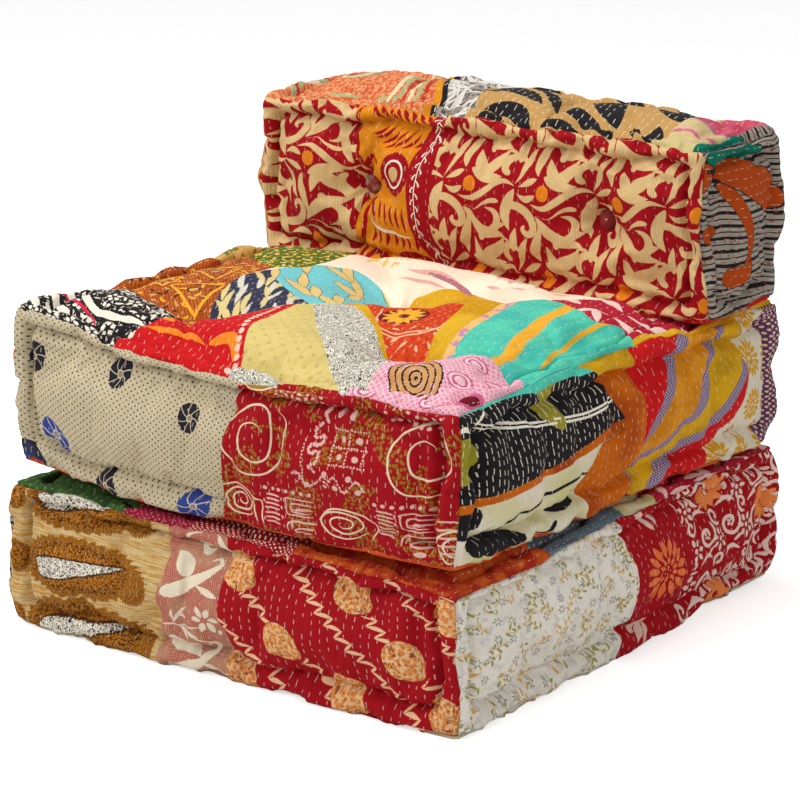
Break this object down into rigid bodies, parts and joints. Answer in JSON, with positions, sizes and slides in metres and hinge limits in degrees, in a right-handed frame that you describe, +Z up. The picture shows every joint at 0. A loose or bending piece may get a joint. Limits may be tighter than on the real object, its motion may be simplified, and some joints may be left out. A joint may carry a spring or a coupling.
{
  "type": "modular floor cushion sofa",
  "caption": "Low modular seat of loose tufted patchwork mattress cushions: square base, square seat and a long back bolster, with hand-stitched rolled edges and covered buttons.",
  "frame": {"origin": "on the floor, under the middle of the base cushion", "axes": "+Z up, -Y the open front of the seat, +X the right side of the sofa as one looks at its front"},
  "size_m": [0.7252, 0.746, 0.6337],
  "materials": {
    "patchwork": "patched printed cotton with running stitches",
    "underside_cloth": "plain quilted cotton",
    "cotton_filling": "loose cotton wadding",
    "button_cloth": "cotton-covered",
    "twine": "waxed cotton twine"
  },
  "bodies": {
    "base_cushion": {"base_top_panel": "patchwork", "base_bottom_panel": "underside_cloth", "base_front_panel": "patchwork", "base_rear_panel": "patchwork", "base_left_panel": "patchwork", "base_right_panel": "patchwork", "base_filling": "cotton_filling", "base_top_buttons": "button_cloth", "base_bottom_buttons": "button_cloth", "base_tuft_twine": "twine"},
    "seat_cushion": {"seat_top_panel": "patchwork", "seat_bottom_panel": "underside_cloth", "seat_front_panel": "patchwork", "seat_rear_panel": "patchwork", "seat_left_panel": "patchwork", "seat_right_panel": "patchwork", "seat_filling": "cotton_filling", "seat_top_buttons": "button_cloth", "seat_bottom_buttons": "button_cloth", "seat_tuft_twine": "twine"},
    "back_cushion": {"back_top_panel": "patchwork", "back_bottom_panel": "underside_cloth", "back_front_panel": "patchwork", "back_rear_panel": "patchwork", "back_left_panel": "patchwork", "back_right_panel": "patchwork", "back_filling": "cotton_filling", "back_front_buttons": "button_cloth", "back_rear_buttons": "button_cloth", "back_tuft_twine": "twine"}
  },
  "joints": [
    {"name": "seat_lift", "type": "slide", "parent": "base_cushion", "child": "seat_cushion", "axis": [0, 0, 1], "range_m": [0, 0.25]},
    {"name": "back_lift", "type": "slide", "parent": "seat_cushion", "child": "back_cushion", "axis": [0, 0, 1], "range_m": [0, 0.25]}
  ]
}
